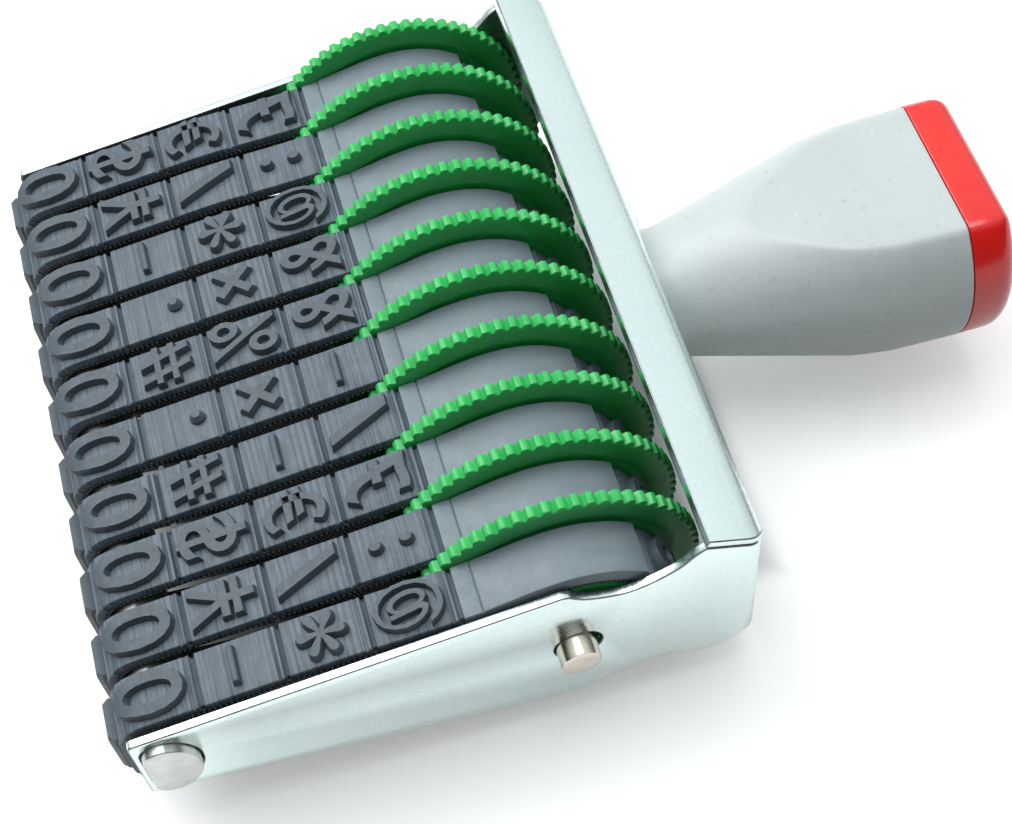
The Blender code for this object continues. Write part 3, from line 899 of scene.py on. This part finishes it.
def glyph_shape(character):
    """A raised character's vertices and faces before it is bent, in millimetres."""
    width, height = GLYPH_SIZES.get(character, (3.7, 6.0))
    if character == "-":
        return bar_shape(width, height)
    text = bpy.data.curves.new("glyph", "FONT")
    text.body = character
    text.size = height / CAPITAL_HEIGHT
    text.resolution_u = 4
    text.extrude = GLYPH_WALL
    text.bevel_depth = GLYPH_SLOPE
    text.bevel_resolution = 0
    text.offset = GLYPH_BOLD.get(character, 0.07)
    holder = bpy.data.objects.new("glyph", text)
    bpy.context.scene.collection.objects.link(holder)
    bpy.context.view_layer.update()
    evaluated = holder.evaluated_get(bpy.context.evaluated_depsgraph_get())
    mesh = bpy.data.meshes.new_from_object(evaluated)
    bpy.data.objects.remove(holder, do_unlink=True)
    shape = bmesh.new()
    shape.from_mesh(mesh)
    bpy.data.meshes.remove(mesh)
    bmesh.ops.remove_doubles(shape, verts=shape.verts, dist=0.001)
    spot = np.array([v.co for v in shape.verts])
    low, high = spot.min(0), spot.max(0)
    middle = (low + high) / 2
    size = high - low
    for vertex in shape.verts:
        vertex.co.x = (vertex.co.x - middle[0]) * width / size[0]
        vertex.co.y = (vertex.co.y - middle[1]) * height / size[1]
        vertex.co.z = vertex.co.z * 2 * GLYPH_TOP / size[2]
    place = -height / 2 + 0.45
    while place < height / 2:
        bmesh.ops.bisect_plane(
            shape, geom=shape.verts[:] + shape.edges[:] + shape.faces[:],
            plane_co=(0, place, 0), plane_no=(0, 1, 0), dist=1e-5)
        place += GLYPH_SLICE
    bmesh.ops.triangulate(shape, faces=[f for f in shape.faces if len(f.verts) > 4])
    shape.verts.index_update()
    vertices = [tuple(v.co) for v in shape.verts]
    faces = [[v.index for v in f.verts] for f in shape.faces]
    shape.free()
    return vertices, faces


glyph_cache = {}


def build_characters(index, spans, centre_y, shift, top):
    """All characters of one band, bent onto its surface."""
    order = list(reversed(top)) + list("123456789")
    vertices, faces, uvs = [], [], []
    for (start, end), character in zip(spans, order):
        if character not in glyph_cache:
            glyph_cache[character] = glyph_shape(character)
        points, sides = glyph_cache[character]
        middle = (start + end) / 2 + 0.15 + GLYPH_SHIFTS.get(character, 0.0)
        base = len(vertices)
        for gx, gy, gz in points:
            place = middle + gy
            x, z = on_path(place, gz)
            vertices.append((x, centre_y + creep(place, shift) - gx, z))
            uvs.append((place, -gx))
        faces += [[base + i for i in side] for side in sides]
    return mesh_object(f"characters_{index:02d}", vertices, faces, SHADED_GLYPH_RUBBER, 30, uvs)


def build_threads(index, centre_y, shift):
    """Stitches along both edges of the tape."""
    vertices, faces = [], []
    count = int(LOOP / STITCH_PITCH)
    for side in (-1, 1):
        for i in range(count):
            place = LOOP * i / count
            spots = []
            for along, height in ((-0.1, -0.86), (0.1, -0.82), (0.1, -1.06), (-0.1, -1.1)):
                x, z = on_path(place + along, height)
                shifted = centre_y + creep(place, shift)
                spots.append((x, shifted + side * 2.44, z))
            x, z = on_path(place, -0.96)
            spots.append((x, centre_y + creep(place, shift) + side * 2.55, z))
            base = len(vertices)
            vertices += spots
            faces += [[base, base + 1, base + 4], [base + 1, base + 2, base + 4],
                      [base + 2, base + 3, base + 4], [base + 3, base, base + 4],
                      [base + 3, base + 2, base + 1, base]]
    return mesh_object(f"edge_threads_{index:02d}", vertices, faces, THREAD, 60)


def build_band(index):
    """One band: rubber with its pads, the tape behind it, characters and stitches."""
    name = f"band_{index:02d}"
    low, high = design(name)
    centre_y = (low.y + high.y) / 2
    rank = BANDS - index
    spans = cell_spans(PHASES[rank])
    dips = grooves(spans)
    places = sample_places(dips, spans)
    heights = [surface(place, dips, spans) for place in places]
    shift = CREEP[rank]
    rubber = sweep(f"rubber_{index:02d}", places,
                   [band_section(notch, height) for height, notch in heights],
                   centre_y, shift, RUBBER)
    smooth_and_lit_splice(rubber, places, spans)
    tape_places = np.linspace(0, LOOP, TAPE_SECTIONS, endpoint=False).tolist()
    half = HALF_BAND + 0.02
    under, over = -THICKNESS, -RUBBER_DEPTH + 0.02
    section = [(-half + 0.1, under), (-half, under + 0.1), (-half, over),
               (half, over), (half, under + 0.1), (half - 0.1, under)]
    tape = sweep(f"tape_{index:02d}", tape_places, [section] * TAPE_SECTIONS, centre_y,
                 shift, TAPE)
    characters = build_characters(index, spans, centre_y, shift, SYMBOLS[rank])
    threads = build_threads(index, centre_y, shift)
    piece(rubber, BODY, "band_rubber", name)
    for item in (tape, characters, threads):
        piece(item, BODY, "band_rubber")


# ---- handle and cap -------------------------------------------------------
HANDLE_Z = 1.0
FLAT = 8.1
GRIP = 10.9
HANDLE_KNOTS = [(0.3, 6.15), (2.2, 6.15), (17.4, 10.25), (21.0, 10.75), (27.3, 10.9)]
HANDLE_STEP = 0.3
FLAT_ROUNDING = 0.16            # softness of the edge between flat and round
LOFT_STEPS = 144
SOCKET = (19.2, 6.2)            # x where the handle's hollow ends, and its radius
PLUG_RADIUS = 5.85
PLUG_FLAT = 9.0                 # past the radius, so that hollow and plug stay round
CAP_CORNER = 1.7
CAP_DOME = 0.35


def grip_section(radius, flat):
    """A circle with a soft-edged flat above and below."""
    points = []
    for step in range(LOFT_STEPS):
        angle = 2 * math.pi * step / LOFT_STEPS
        across, up = radius * math.cos(angle), radius * math.sin(angle)
        over = abs(up) - flat
        blend = 0.5 * (over + math.sqrt(over * over + FLAT_ROUNDING * FLAT_ROUNDING))
        up = math.copysign(max(abs(up) - blend, 0.0), up)
        points.append((across, up))
    return points


def loft(name, stations, material):
    """Join sections (x, radius, flat) into one closed surface."""
    steps = LOFT_STEPS
    vertices, faces = [], []
    for x, radius, flat in stations:
        for across, up in grip_section(radius, flat):
            vertices.append((x, across, HANDLE_Z + up))
    for row in range(len(stations) - 1):
        base, above = row * steps, (row + 1) * steps
        for step in range(steps):
            following = (step + 1) % steps
            faces.append([base + step, base + following, above + following, above + step])
    faces.append(list(range(steps)))
    faces.append(list(range(len(vertices) - steps, len(vertices))))
    return mesh_object(name, vertices, faces, material, SOFT_EDGE)


def build_handle():
    outline = blended(HANDLE_KNOTS, HANDLE_STEP)
    stations = [(x, radius, FLAT) for x, radius in outline[:-1]]
    stations += [(JOINT_X - 0.09, GRIP, FLAT), (JOINT_X - 0.03, GRIP - 0.03, FLAT - 0.03),
                 (JOINT_X, GRIP - 0.1, FLAT - 0.1), (JOINT_X, SOCKET[1], PLUG_FLAT),
                 (*SOCKET, PLUG_FLAT)]
    handle = loft("handle_shell", stations, HANDLE)
    piece(handle, BODY, "handle_plastic", "handle")


def build_cap():
    start = (cap_low.x - ORIGIN.x) / MM
    edge = JOINT_X + 0.1
    stations = [(start, PLUG_RADIUS, PLUG_FLAT), (edge, PLUG_RADIUS, PLUG_FLAT),
                (edge, GRIP - 0.14, FLAT - 0.14), (edge + 0.04, GRIP - 0.04, FLAT - 0.04),
                (edge + 0.12, GRIP, FLAT)]
    corner, dome = CAP_CORNER, CAP_DOME
    for step in range(9):
        angle = math.radians(90 * step / 8)
        inset = corner * (1 - math.cos(angle))
        x = CAP_END - dome - corner + corner * math.sin(angle)
        stations.append((x, GRIP - inset, FLAT - inset))
    for share in (0.85, 0.65, 0.4, 0.15, 0.02):
        rim_radius, rim_flat = (GRIP - corner) * share, (FLAT - corner) * share
        stations.append((CAP_END - dome * share ** 2, rim_radius, rim_flat + 0.02))
    cap = loft("red_cap", stations, CAP)
    piece(cap, BODY, "cap_plastic", "end_cap")


def dress_cad(node, material):
    """Give a CAD node whose shape stays a better finish."""
    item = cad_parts[node]
    item.data.materials.clear()
    item.data.materials.append(material)


# ---- camera, floor and light ----------------------------------------------
CAMERA_ANGLES = (-10.10, 57.96, -6.92)      # azimuth from the near side, elevation, roll
CAMERA_TARGET = (-15.485, -7.241, 0.0)
CAMERA_DISTANCE = 166.445
LENS = 66.08
FLOOR_LIFT = 0.32               # extra brightness of the open floor
MIRRORED_LIFT = 0.55            # share of it that reflections show
FLOOR_HALF = 3
# painted shadow: a box under the frame where the floor does not glow, standing in for its
# contact shadow
PAINTED_SHADOW_BOX = (("X", -0.0128, 0.0278), ("Y", 0.010, 0.032))     # axis, middle, half width
PAINTED_SHADOW_FADE = 0.003
KEY = ("key", (-0.24, 0.27, 0.47), 1.8)     # name, place in metres, watts
OVERHEAD = ("overhead", (0.0, 0.04, 0.60), 1.25)
SOFTBOX = 0.34


def build_camera():
    azimuth, elevation, roll = (math.radians(angle) for angle in CAMERA_ANGLES)
    target = to_world(CAMERA_TARGET)
    distance = CAMERA_DISTANCE * MM
    back = Vector((math.sin(azimuth) * math.cos(elevation),
                   -math.cos(azimuth) * math.cos(elevation), math.sin(elevation)))
    level = Vector((math.cos(azimuth), math.sin(azimuth), 0))
    upright = back.cross(level)
    right = level * math.cos(roll) + upright * math.sin(roll)
    up = upright * math.cos(roll) - level * math.sin(roll)
    data = bpy.data.cameras.new("camera")
    data.sensor_width = 36
    data.sensor_fit = "HORIZONTAL"
    data.lens = LENS
    data.clip_start = 0.01
    data.clip_end = 20
    camera = bpy.data.objects.new("camera", data)
    bpy.context.scene.collection.objects.link(camera)
    place = target + back * distance
    camera.matrix_world = Matrix((
        (right.x, up.x, back.x, place.x), (right.y, up.y, back.y, place.y),
        (right.z, up.z, back.z, place.z), (0, 0, 0, 1)))
    bpy.context.scene.camera = camera


def softbox(name, place, energy):
    """A square area light that faces the object."""
    data = bpy.data.lights.new(name, "AREA")
    data.shape = "RECTANGLE"
    data.size = data.size_y = SOFTBOX
    data.energy = energy
    light = bpy.data.objects.new(name, data)
    bpy.context.scene.collection.objects.link(light)
    light.location = place
    light.rotation_euler = (-Vector(place)).to_track_quat("-Z", "Y").to_euler()


def outside_painted_shadow(nodes):
    """One over the open floor, falling to nothing where the frame stands over it: a painted
    contact shadow, where the floor's glow is taken away.
    """
    place = nodes.add("ShaderNodeSeparateXYZ")
    nodes.link(nodes.add("ShaderNodeTexCoord").outputs["Object"], place.inputs["Vector"])
    limits = []
    for axis, middle, half in PAINTED_SHADOW_BOX:
        away = nodes.math("ABSOLUTE", nodes.math("SUBTRACT", place.outputs[axis], middle))
        fade = nodes.add("ShaderNodeMapRange")
        fade.interpolation_type = "SMOOTHSTEP"
        fade.inputs["From Min"].default_value = half
        fade.inputs["From Max"].default_value = half + PAINTED_SHADOW_FADE
        nodes.link(away, fade.inputs["Value"])
        limits.append(fade.outputs["Result"])
    return nodes.math("MAXIMUM", *limits)


def build_studio():
    """A white floor, the sky and two softboxes."""
    nodes = Nodes("studio_floor")
    nodes.set(Roughness=0.9)
    cloud = nodes.noise(nodes.scaled((4, 4, 4)), detail=1)
    paper = nodes.ramp(cloud, [(0.3, (0.80, 0.80, 0.80)), (0.7, (0.82, 0.82, 0.82))])
    paths = nodes.add("ShaderNodeLightPath")
    nodes.colour(nodes.mix(paths.outputs["Is Diffuse Ray"], paper, (0.36, 0.36, 0.36)))
    nodes.shader.inputs["Emission Color"].default_value = (1, 1, 1, 1)
    lift = nodes.math("MULTIPLY", outside_painted_shadow(nodes), FLOOR_LIFT)
    mirrored = nodes.math("MULTIPLY", paths.outputs["Is Glossy Ray"], MIRRORED_LIFT)
    direct = nodes.math("MAXIMUM", paths.outputs["Is Camera Ray"], mirrored)
    seen = nodes.math("MULTIPLY", direct, lift)
    nodes.link(seen, nodes.shader.inputs["Emission Strength"])
    mesh = bpy.data.meshes.new("floor")
    half = FLOOR_HALF
    mesh.from_pydata([(-half, -half, 0), (half, -half, 0), (half, half, 0), (-half, half, 0)],
                     [], [[0, 1, 2, 3]])
    mesh.materials.append(nodes.material)
    floor = bpy.data.objects.new("floor", mesh)
    bpy.context.scene.collection.objects.link(floor)
    build_sky()
    softbox(*KEY)
    softbox(*OVERHEAD)
    bpy.context.scene.view_settings.view_transform = "Standard"


def build_sky():
    """A white tent, bright overhead and behind, dim on the near side."""
    world = bpy.data.worlds.new("studio")
    world.use_nodes = True
    tree = world.node_tree
    background = tree.nodes["Background"]
    coordinates = tree.nodes.new("ShaderNodeTexCoord")
    lean = tree.nodes.new("ShaderNodeVectorMath")
    lean.operation = "DOT_PRODUCT"
    lean.inputs[1].default_value = (0.10, 0.50, 0.86)
    tree.links.new(coordinates.outputs["Generated"], lean.inputs[0])
    fade = tree.nodes.new("ShaderNodeMapRange")
    fade.interpolation_type = "SMOOTHSTEP"
    fade.inputs["From Min"].default_value = 0.05
    fade.inputs["From Max"].default_value = 0.8
    fade.inputs["To Min"].default_value = 0.03
    fade.inputs["To Max"].default_value = 1.0
    tree.links.new(lean.outputs["Value"], fade.inputs["Value"])
    background.inputs["Color"].default_value = (0.93, 0.985, 1.0, 1.0)
    tree.links.new(fade.outputs["Result"], background.inputs["Strength"])
    bpy.context.scene.world = world


build_camera()
build_studio()
build_frame()
build_bridge()
build_axle()
for number in range(1, BANDS + 1):
    build_wheel(number)
    build_band(number)
build_handle()
build_cap()
dress_cad("handle_screw", SCREW_METAL)
dress_cad("screw_washer", SCREW_METAL)
